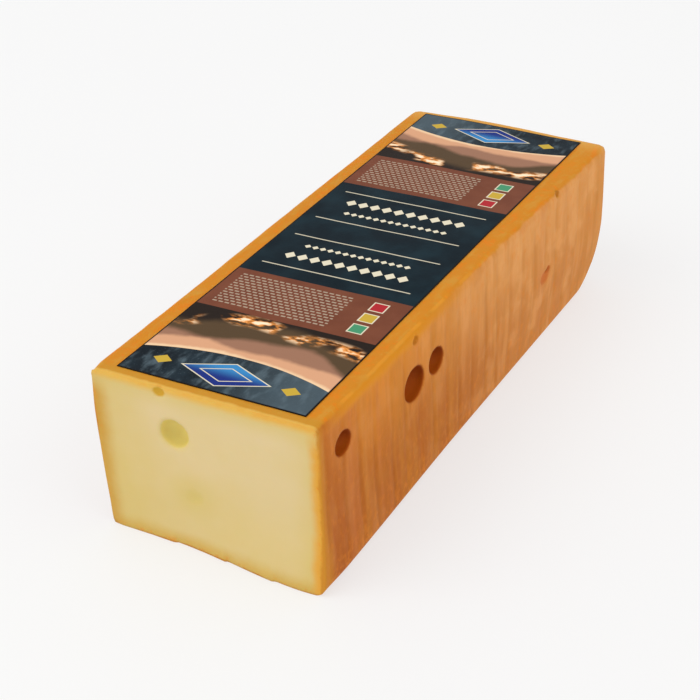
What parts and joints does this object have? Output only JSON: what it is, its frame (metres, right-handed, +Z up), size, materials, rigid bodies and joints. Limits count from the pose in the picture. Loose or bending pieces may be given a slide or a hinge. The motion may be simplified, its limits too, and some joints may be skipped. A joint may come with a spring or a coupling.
{
  "type": "bar of smoked cheese",
  "caption": "Long rectangular bar of smoked semi-hard cheese with round eyes, a pale cut face, a rounded heel, an orange-brown rind and a printed label laid on its top.",
  "frame": {"origin": "centre of the footprint, on the base plane", "axes": "+Z up, +Y along the bar from the cut face to the heel, +X across it"},
  "size_m": [0.113, 0.311, 0.0804],
  "materials": {
    "rind": null,
    "label_film": "satin printed label in slate, dusk and brown fields"
  },
  "bodies": {
    "root": {"cheese_bar": "rind", "label": "label_film"}
  },
  "joints": []
}
